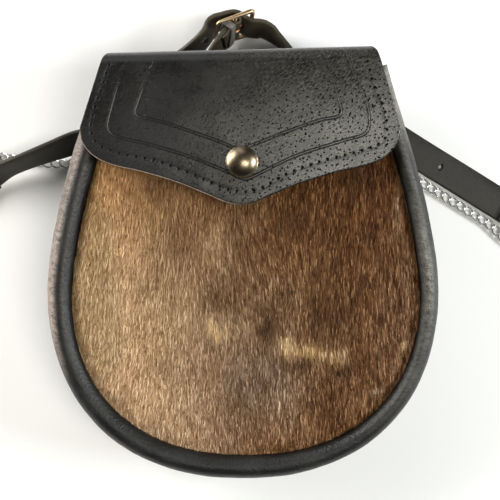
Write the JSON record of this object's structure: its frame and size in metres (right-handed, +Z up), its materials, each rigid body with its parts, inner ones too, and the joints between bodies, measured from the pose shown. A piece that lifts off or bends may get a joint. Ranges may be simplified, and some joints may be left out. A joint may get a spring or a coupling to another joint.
{
  "type": "sporran pouch",
  "caption": "Day sporran lying on its back: a rounded leather pouch with a short-haired hide front and a tooled flap with a stud, on a buckled waist strap with curb chains.",
  "frame": {"origin": "on the surface it lies on, under the middle of its box", "axes": "+X to the wearer's left, across the pouch, +Y towards the flap's fold and the strap, +Z up out of the hide front"},
  "size_m": [0.3266, 0.2301, 0.0695],
  "materials": {
    "body_leather": "soft black grained leather, low sheen",
    "flap_leather": "black leather with hair pores, creased lines and a raw tan edge",
    "hide": "short brown hair on hide, brushed down",
    "strap_leather": "black-brown strap leather, brown flesh side",
    "antique_brass": "dark antique brass, polished dome",
    "buckle_brass": "worn brass",
    "bright_steel": "bright plated curb chain and rings"
  },
  "bodies": {
    "root": {"back_panel": "body_leather", "gusset": "body_leather", "front_panel": "hide", "flap": "flap_leather", "snap_cap": "antique_brass", "snap_post": "antique_brass", "ring_tab_left": "body_leather", "ring_tab_right": "body_leather", "pouch_ring_left": "bright_steel", "pouch_ring_right": "bright_steel", "chain_left": "bright_steel", "chain_right": "bright_steel", "strap_ring_left": "bright_steel", "strap_ring_right": "bright_steel", "buckle_strap": "strap_leather", "billet_strap": "strap_leather", "keeper": "strap_leather", "buckle_frame": "buckle_brass", "buckle_prong": "buckle_brass"}
  },
  "joints": []
}
